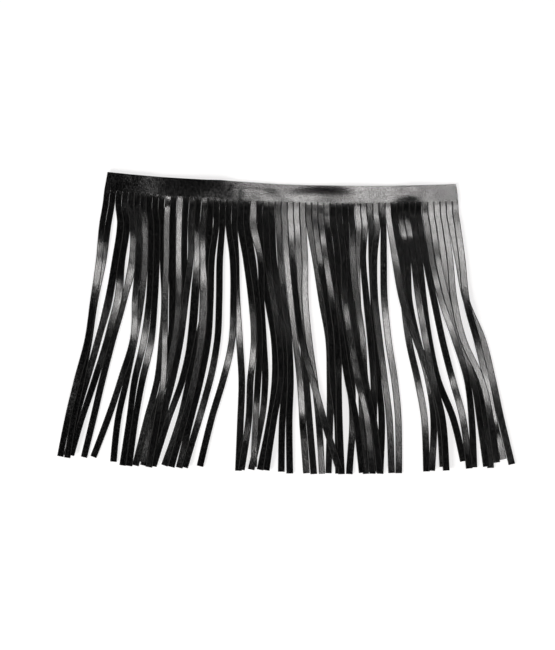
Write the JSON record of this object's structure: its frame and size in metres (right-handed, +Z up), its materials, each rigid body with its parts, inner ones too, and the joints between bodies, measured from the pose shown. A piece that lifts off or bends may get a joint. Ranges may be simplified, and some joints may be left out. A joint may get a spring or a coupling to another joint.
{
  "type": "leather fringe trim",
  "caption": "Narrow band of black leather cut along one edge into long strands of one length, laid loosely with the strands splayed and lying over each other.",
  "frame": {"origin": "on the flat underside of the band, close to the middle of its length and height", "axes": "+X along the band, +Y from the strands towards the band, +Z up from the surface that the fringe lies on"},
  "size_m": [0.3655, 0.2412, 0.0054],
  "materials": {
    "leather": "black, fine grained and half glossy on top, with plain cut edges and a matt underside"
  },
  "bodies": {
    "root": {"fringe": "leather"}
  },
  "joints": []
}
